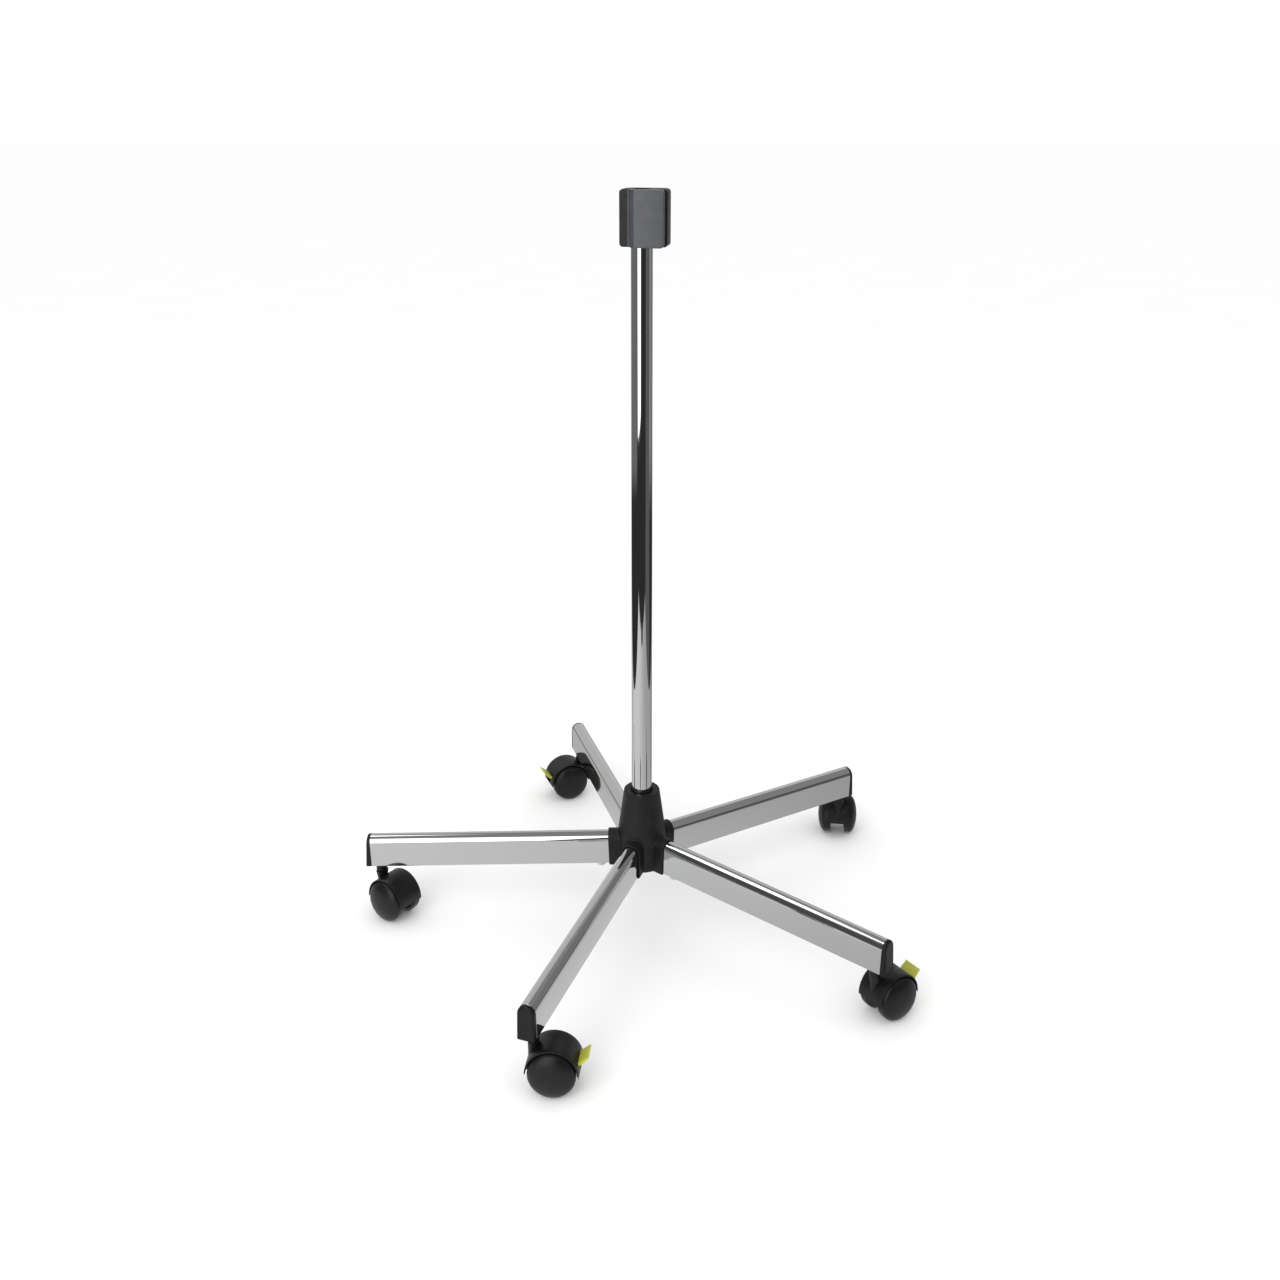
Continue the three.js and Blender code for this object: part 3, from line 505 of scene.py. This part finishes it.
def hood_mesh(braked):
    """The half-round hood with its middle web, stem boss and axle boss."""
    rings = []
    steps = 60
    for k in range(steps + 1):
        angle = -2.5 + 185 * k / steps
        inner = HOOD_RADIUS - HOOD_WALL
        # the wall thins towards the hood's two lower lips
        beyond = max(0.0, abs(angle - 90) - 86.5) / 6
        inner += 1.15 * beyond * (HOOD_WALL / 1.5)
        half = HOOD_HALF
        section = [(5.2, WEB_HALF - 0.4), (5.6, WEB_HALF), (inner - 2.2, WEB_HALF),
                   (inner - 0.9, WEB_HALF + 0.5), (inner - 0.2, WEB_HALF + 1.5), (inner, WEB_HALF + 2.8),
                   (inner, half - 0.35)]
        section += [(inner + 0.15, half - 0.1), (inner + 0.35, half), (HOOD_RADIUS - 0.4, half),
                    (HOOD_RADIUS - 0.12, half - 0.12), (HOOD_RADIUS, half - 0.4), (HOOD_RADIUS, half - 6),
                    (HOOD_RADIUS, 6)]
        section += [(r, -y) for r, y in reversed(section)]
        a = math.radians(angle)
        rings.append([(CASTER_TRAIL + r * math.cos(a), y, r * math.sin(a)) for r, y in section])
    shell = loft(rings)

    boss_rings = []
    for k in range(15):
        share = k / 14
        height = BOSS_TOP - (BOSS_TOP - BOSS_BOTTOM) * share
        size = 1 - (1 - BOSS_TIP) * share
        edge = 0.35 if k == 0 else 0.0
        outer = BOSS_OUT - edge
        ring = []
        for j in range(48):
            a = math.radians(7.5 * j)
            c, s = math.cos(a), math.sin(a)
            x = c * outer if c < 0 else c ** 0.72 * (BOSS_IN - edge)
            y = math.copysign(abs(s) ** 0.85, s) * (BOSS_HALF_WIDTH * size - edge)
            ring.append((x, y, height))
        if k == 0:
            boss_rings.append([(x, y, height) for x, y, _ in ring])
            ring = [(x * 1.05, y * 1.04, height - edge) for x, y, _ in ring]
        boss_rings.append(ring)
    boss = loft(boss_rings)
    axle_boss = moved(rod(8.0, -WEB_HALF, WEB_HALF, 0.5), shift(CASTER_TRAIL, 0, 0) @ ALONG_Y)
    hood = united(shell, axle_boss, boss)
    axle_bore = moved(rod(AXLE_RADIUS + 0.25, -30, 30), shift(CASTER_TRAIL, 0, 0) @ ALONG_Y)
    stem_bore = rod(STEM_RADIUS + 0.3, 10.4, 60)
    cutters = [axle_bore, stem_bore]
    if braked:
        slot_half, slot_root, slot_end = 5.2, PIN_X - 4, CASTER_TRAIL + 55
        cutters.append(loft([[(slot_root, -slot_half, z), (slot_end, -slot_half, z),
                              (slot_end, slot_half, z), (slot_root, slot_half, z)] for z in (-30, 11)]))
    return cut(hood, *cutters)


def tab_mesh():
    """The brake lever: ribbed tab, arm and eye. Ribs run along the axle, and the tip is finely toothed."""
    reach = HOOD_RADIUS + TAB_CLEAR
    root_x = CASTER_TRAIL + math.sqrt(reach ** 2 - TAB_RISE ** 2)
    out = Vector((math.cos(math.radians(TAB_ANGLE)), math.sin(math.radians(TAB_ANGLE))))
    up = Vector((-out.y, out.x))
    rib_height, rib_pitch, scallop_pitch = 0.16, 1.45, 5.5
    root_thickness, tip_thinner, nose_half = 4.0, 2.2, 1.85
    rings = []
    stations = 44
    for k in range(stations + 1):
        y = -TAB_HALF + 2 * TAB_HALF * k / stations
        edge = 0.5 if k in (0, stations) else (0.12 if k in (1, stations - 1) else 0.0)
        tooth = 0.35 * abs((k % 8) / 4 - 1)
        scallop = 0.3 * abs(math.sin(math.pi * (y + TAB_HALF) / scallop_pitch))
        top, bottom = [], []
        for j in range(61):
            s = (TAB_LENGTH - tooth) * j / 60
            half = (root_thickness - tip_thinner * s / TAB_LENGTH) / 2 - edge
            rib = rib_height * max(0.0, math.cos(2 * math.pi * s / rib_pitch))
            if not 0.8 < s < TAB_LENGTH - 0.6:
                rib = 0.0
            taper = min(1.0, (TAB_LENGTH - tooth - s) / 0.5 + 0.45)
            top.append((s, half * taper + rib - 0.1))
            bottom.append((s, -half * taper - rib + 0.1))
        nose = [(-(1.0 - scallop) * math.sin(a) * (1 - edge), nose_half * math.cos(a) * (1 - edge / 2))
                for a in (math.radians(180 - 18 * i) for i in range(1, 10))]
        ring = []
        for s, t in top + list(reversed(bottom)) + nose:
            point = out * s + up * t
            ring.append((root_x + point.x, y, TAB_RISE + point.y))
        rings.append(ring)
    tab = loft(rings)
    arm_half, arm_end = 4.6, root_x + 1.2
    arm = loft([[(PIN_X, y, PIN_Z - 1.5), (arm_end, y, TAB_RISE - 2.7), (arm_end, y, TAB_RISE + 0.2),
                 (PIN_X, y, PIN_Z + 1.5)] for y in (-arm_half, arm_half)])
    eye = moved(rod(3.6, -arm_half, arm_half, 0.3), shift(PIN_X, 0, PIN_Z) @ ALONG_Y)
    bore = moved(rod(PIN_RADIUS + 0.25, -30, 30), shift(PIN_X, 0, PIN_Z) @ ALONG_Y)
    return cut(united(tab, arm, eye), bore)


wheel_shape = wheel_mesh()
hood_shapes = {False: hood_mesh(False), True: hood_mesh(True)}
tab_shape = tab_mesh()
stem_shape = rod(STEM_RADIUS, 10.9, 62.0, 0.6)
collar_shape = loft(circle_rings([
    (STEM_RADIUS + 0.1, BOSS_TOP + 0.2), (STEM_COLLAR_RADIUS - 0.4, BOSS_TOP + 0.2),
    (STEM_COLLAR_RADIUS, BOSS_TOP + 0.6), (STEM_COLLAR_RADIUS, BOSS_TOP + 2.6),
    (STEM_COLLAR_RADIUS - 0.35, BOSS_TOP + 3.0), (STEM_COLLAR_RADIUS - 0.35, BOSS_TOP + 3.5),
    (STEM_COLLAR_RADIUS, BOSS_TOP + 3.9), (STEM_COLLAR_RADIUS, STEM_COLLAR_TOP - 0.4),
    (STEM_COLLAR_RADIUS - 0.4, STEM_COLLAR_TOP), (STEM_RADIUS + 0.1, STEM_COLLAR_TOP)], 64), loop=True)

for index in range(LEG_COUNT):
    number = index + 1
    a = math.radians(leg_azimuth(index))
    place = (shift(STEM_AT * math.cos(a), STEM_AT * math.sin(a), AXLE_HEIGHT)
             @ turn(CASTER_HEADINGS[index], "Z"))
    braked = number in BRAKED
    body = f"caster_{number}"
    piece(f"stem_pin_{number}", stem_shape, place, STEEL, "frame", [f"caster_stem_{number}"])
    piece(f"stem_collar_{number}", collar_shape, place, CASTER_PLASTIC, "frame", [])
    piece(f"hood_{number}", hood_shapes[braked], place, CASTER_PLASTIC, body,
          [f"caster_hood_{number}"], 35)
    for side, angle in (("left", 0), ("right", 180)):
        wheel_place = place @ shift(CASTER_TRAIL, 0, 0) @ turn(angle, "Z")
        piece(f"tyre_{side}_{number}", wheel_shape, wheel_place, WHEEL_PLASTIC,
              f"wheel_{side}_{number}", [f"wheel_{side}_{number}"], 40)
    if braked:
        piece(f"brake_tab_{number}", tab_shape, place, BRAKE_PLASTIC,
              f"brake_{number}", [f"brake_lever_{number}"], 30)

# ------------------------------------------------------------ head
# The head's own frame: origin on the pole's axis at its underside, -Y to its front.


def side_inset(height, radius):
    """How far an outline's side draws in at a height, where its upper and lower corners are round."""
    near = min(height, HEAD_HEIGHT - height)
    return radius - math.sqrt(max(radius ** 2 - max(radius - near, 0.0) ** 2, 0.0))


def stacked(outline):
    """Rings of a plan outline up the head, with round corners in front view and a fine rounded edge."""
    heights = [0, 0.15, 0.4, 0.8, 1.3, 1.9, 2.6, 3.3, HEAD_CORNER]
    heights += [HEAD_HEIGHT - h for h in reversed(heights)]
    rings = []
    for height in heights:
        near = min(height, HEAD_HEIGHT - height)
        edge = HEAD_EDGE - math.sqrt(max(HEAD_EDGE ** 2 - max(HEAD_EDGE - near, 0.0) ** 2, 0.0))
        drawn = outline(side_inset(height, HEAD_CORNER))
        if edge > 0.001:
            drawn = offset(drawn, edge)
        rings.append([(x, y, height) for x, y in drawn])
    return loft(rings)


def block_outline(inset):
    left, right, edge, turn_back = HEAD_LEFT + inset, HEAD_RIGHT - inset, 0.7, 7.0
    return (arc(left + edge, HEAD_FRONT + edge, edge, 180, 270, 4)
            + arc(right - edge, HEAD_FRONT + edge, edge, -90, 0, 4)
            + arc(right - turn_back, HEAD_BACK - turn_back, turn_back, 0, 90, 12)
            + arc(left + turn_back, HEAD_BACK - turn_back, turn_back, 90, 180, 12))


def plate_outline(inset):
    right, back, edge = JAW_RIGHT - inset, HEAD_FRONT - 0.15, 0.9
    flank = JAW_FOOT + JAW_HOLLOW
    hollow = arc(JAW_FOOT, back - 0.8 - JAW_HOLLOW, JAW_HOLLOW, 90, 0, 8)
    rounding = arc(flank + JAW_ROUND, JAW_FACE + JAW_ROUND, JAW_ROUND, 180, 270, 16)
    return ([(JAW_FOOT, back)] + hollow + rounding
            + arc(right - edge, JAW_FACE + edge, edge, -90, 0, 5) + [(right, back)])


def depth_rod(radius, front, back, x, z, edge=0.0, segments=48):
    return moved(rod(radius, front, back, edge, segments), shift(x, 0, z) @ ALONG_Y)


head_place = shift(0, 0, HEAD_BOTTOM) @ turn(HEAD_YAW, "Z")
bores = [rod(POLE_RADIUS + 0.25, -BEYOND, BUSH_BOTTOM - 0.4, 0),
         rod(BUSH_RADIUS + 0.1, 30, HEAD_HEIGHT + BEYOND, 0),
         depth_rod(GRUB_RADIUS + 0.3, 0, HEAD_BACK + BEYOND, 0, GRUB_HEIGHT)]
for z in SCREW_HEIGHTS:
    bores.append(depth_rod(SCREW_HEAD_RADIUS + 0.3, HEAD_BACK - 7, HEAD_BACK + BEYOND, SCREW_SIDE, z))
piece("head_block", cut(stacked(block_outline), *bores), head_place, HEAD_PLASTIC, "frame",
      ["head_body"], 30)
piece("head_plate", stacked(plate_outline), head_place, PLATE_PLASTIC, "frame",
      ["head_jaw"], 30)
bush_shape = loft(circle_rings([
    (SOCKET_RADIUS, BUSH_BOTTOM), (BUSH_RADIUS, BUSH_BOTTOM), (BUSH_RADIUS, HEAD_HEIGHT - 1.9),
    (BUSH_RADIUS - 0.4, HEAD_HEIGHT - 1.5), (SOCKET_RADIUS + 0.7, HEAD_HEIGHT - 1.5),
    (SOCKET_RADIUS, HEAD_HEIGHT - 2.2)], 72), loop=True)
piece("head_socket", bush_shape, head_place, BRASS, "frame", ["head_bush"])
for name, z in zip(("upper", "lower"), SCREW_HEIGHTS):
    head = depth_rod(SCREW_HEAD_RADIUS, 9.6, 14.4, SCREW_SIDE, z, 0.3)
    key = depth_rod(2.1, 11.5, 17, SCREW_SIDE, z, 0, 6)
    piece(f"head_bolt_{name}", cut(head, key), head_place, STEEL, "frame", [f"head_screw_{name}"])
grub = cut(depth_rod(GRUB_RADIUS, SOCKET_RADIUS + 0.4, 15.0, 0, GRUB_HEIGHT, 0.3),
           depth_rod(2.0, 12, 17, 0, GRUB_HEIGHT, 0, 6))
piece("head_set_screw", grub, head_place, STEEL, "frame", ["head_grub_screw"])

# the few small inner CAD nodes that aren't replaced are turned steel too
for node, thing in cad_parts.items():
    if not thing.hide_render:
        thing.data.materials.clear()
        thing.data.materials.append(STEEL)

# ------------------------------------------------------------ studio


def stage_plane(name, height, size, material):
    mesh = bpy.data.meshes.new(name)
    corners = [(-size, -size, height), (size, -size, height), (size, size, height), (-size, size, height)]
    mesh.from_pydata(corners, [], [(0, 1, 2, 3)])
    thing = bpy.data.objects.new(name, mesh)
    mesh.materials.append(material)
    bpy.context.scene.collection.objects.link(thing)
    return thing


def only_in_reflections(thing):
    thing.visible_camera = False
    thing.visible_diffuse = False
    thing.visible_transmission = False
    thing.visible_volume_scatter = False
    thing.visible_shadow = False


floor_finish = Finish("floor_paint", (0.87, 0.87, 0.87), 0.9, Specular_IOR_Level=0.0)
floor_finish.set("Base Color", floor_finish.mixed(floor_finish.noise(3, 2), (0.87, 0.87, 0.872),
                                                  (0.89, 0.89, 0.89)))
stage_plane("studio_floor", 0.0, 40, floor_finish.material).visible_glossy = False


class Glow(Finish):
    """An emission material for the parts of the room that only the chrome sees."""

    def __init__(self, name):
        super().__init__(name, (0, 0, 0), 1.0)
        self.tree.nodes.remove(self.shader)
        self.emit = self.tree.nodes.new("ShaderNodeEmission")
        self.tree.links.new(self.emit.outputs[0], self.tree.nodes["Material Output"].inputs["Surface"])
        split = self.tree.nodes.new("ShaderNodeSeparateXYZ")
        self.tree.links.new(self.place, split.inputs[0])
        self.x, self.y, self.z = split.outputs

    def band(self, value, low, high, soft):
        """1 between low and high, falling softly to 0 outside."""
        rise = self.levels(value, low - soft, low + soft, 0, 1)
        fall = self.levels(value, high - soft, high + soft, 1, 0)
        return self.math("MULTIPLY", rise, fall)

    def both(self, first, second):
        return self.math("MULTIPLY", first, second)

    def over(self, under, share, value):
        """value in place of under, where share is 1."""
        kept = self.math("MULTIPLY", under, self.math("SUBTRACT", 1.0, share))
        return self.math("ADD", kept, self.math("MULTIPLY", value, share))

    def show(self, value):
        self.tree.links.new(value, self.emit.inputs["Strength"])


def paper_card():
    """The lit paper under the stand, lighter on the left. Beyond it the chrome sees the dark studio."""
    g = Glow("paper_glow")
    light = g.both(g.levels(g.x, -0.5, 0.6, 0.86, 0.50), g.levels(g.y, 0.02, 0.40, 1.0, 0.70))
    notch = g.both(g.band(g.x, -0.10, 0.17, 0.01), g.levels(g.y, -0.92, -0.90, 1, 0))
    g.show(g.over(light, notch, 0.03))
    half_width, near, far, above_floor = 0.7, -0.98, 2.5, 0.0003
    mesh = bpy.data.meshes.new("paper_card")
    mesh.from_pydata([(-half_width, near, above_floor), (half_width, near, above_floor),
                      (half_width, far, above_floor), (-half_width, far, above_floor)], [], [(0, 1, 2, 3)])
    mesh.materials.append(g.material)
    thing = bpy.data.objects.new("paper_card", mesh)
    bpy.context.scene.collection.objects.link(thing)
    only_in_reflections(thing)


def room_dome():
    """The room round the stand, as the chrome sees it, by azimuth from the front and by elevation."""
    g = Glow("room_glow")
    azimuth = g.math("MULTIPLY", g.math("ARCTAN2", g.x, g.math("MULTIPLY", g.y, -1.0)), 180 / math.pi)
    radius = g.math("SQRT", g.math("ADD", g.math("MULTIPLY", g.x, g.x), g.math("MULTIPLY", g.y, g.y)))
    height = g.math("MULTIPLY", g.math("ARCTAN2", g.z, radius), 180 / math.pi)
    aside = g.math("ABSOLUTE", azimuth)

    def wall(first, last, soft, low, high, fade, brightness):
        """A patch of wall between two azimuths and two elevations, with soft edges."""
        return g.over(value, g.both(g.band(azimuth, first, last, soft), g.band(height, low, high, fade)),
                      brightness)

    value = g.levels(height, 8, 24, 0.035, 0.30)
    # the left wall, dim, with a lighter skirting behind it
    value = wall(-105, -52, 8, 3, 52, 5, 0.09)
    value = wall(-165, -52, 4, -15, 3, 1, 0.20)
    # the right wall: dim, then a lit post, then half-lit
    value = wall(40, 90, 5, -30, 8, 2, 0.14)
    value = wall(88, 104, 3, -15, 8, 2, 0.42)
    value = wall(104, 150, 3, -15, 40, 2, 0.24)
    # the lit backdrop, and its left wing
    value = g.over(value, g.both(g.levels(aside, 146, 152, 0, 1), g.band(height, -60, 42, 3)), 0.68)
    value = wall(-185, -114, 4, 1, 46, 2, 0.65)
    # the dark side of the room, where the camera stands
    value = wall(-20, 40, 4, -60, 55, 3, 0.035)
    # a bright strip lamp high on the left
    value = wall(-145, -85, 4, 54, 70, 2, 3.6)
    g.show(value)
    mesh = bpy.data.meshes.new("room_dome")
    work = bmesh.new()
    bmesh.ops.create_icosphere(work, subdivisions=4, radius=60)
    work.to_mesh(mesh)
    work.free()
    thing = bpy.data.objects.new("room_dome", mesh)
    mesh.materials.append(g.material)
    bpy.context.scene.collection.objects.link(thing)
    only_in_reflections(thing)


paper_card()
room_dome()


def panel(name, azimuth, elevation, distance, width, height, strength, target=(0, 0, 0.35), spin=0.0):
    """A softbox: a rectangular area light that faces the stand from an azimuth, counted from the front."""
    a, e = math.radians(azimuth), math.radians(elevation)
    way = Vector((math.sin(a) * math.cos(e), -math.cos(a) * math.cos(e), math.sin(e)))
    lamp = bpy.data.lights.new(name, "AREA")
    lamp.shape = "RECTANGLE"
    lamp.size, lamp.size_y = width, height
    lamp.energy = strength * math.pi * width * height
    thing = bpy.data.objects.new(name, lamp)
    thing.location = Vector(target) + way * distance
    thing.rotation_mode = "QUATERNION"
    facing = way.to_track_quat("Z", "Y").to_matrix().to_4x4()
    thing.rotation_quaternion = (facing @ turn(spin, "Z")).to_quaternion()
    bpy.context.scene.collection.objects.link(thing)
    return thing


panel("key_softbox", -29, 22, 2.3, 1.5, 2.6, 2.2, spin=3)
panel("fill_softbox", 75, 40, 2.6, 1.2, 1.2, 0.35).visible_glossy = False

world = bpy.data.worlds.new("studio")
world.use_nodes = True
world.node_tree.nodes["Background"].inputs["Color"].default_value = (1, 1, 1, 1)
world.node_tree.nodes["Background"].inputs["Strength"].default_value = 1.12
world.cycles_visibility.glossy = False
bpy.context.scene.world = world
bpy.context.scene.view_settings.view_transform = "Standard"

camera = bpy.data.cameras.new("camera")
camera.lens, camera.sensor_width = CAMERA_LENS, 36.0
camera.shift_x, camera.shift_y = CAMERA_SHIFT
camera.clip_start, camera.clip_end = 0.05, 100
camera.dof.use_dof = False
eye = bpy.data.objects.new("camera", camera)
eye.location = CAMERA_PLACE
eye.rotation_euler = (math.radians(CAMERA_TILT), 0, 0)
bpy.context.scene.collection.objects.link(eye)
bpy.context.scene.camera = eye
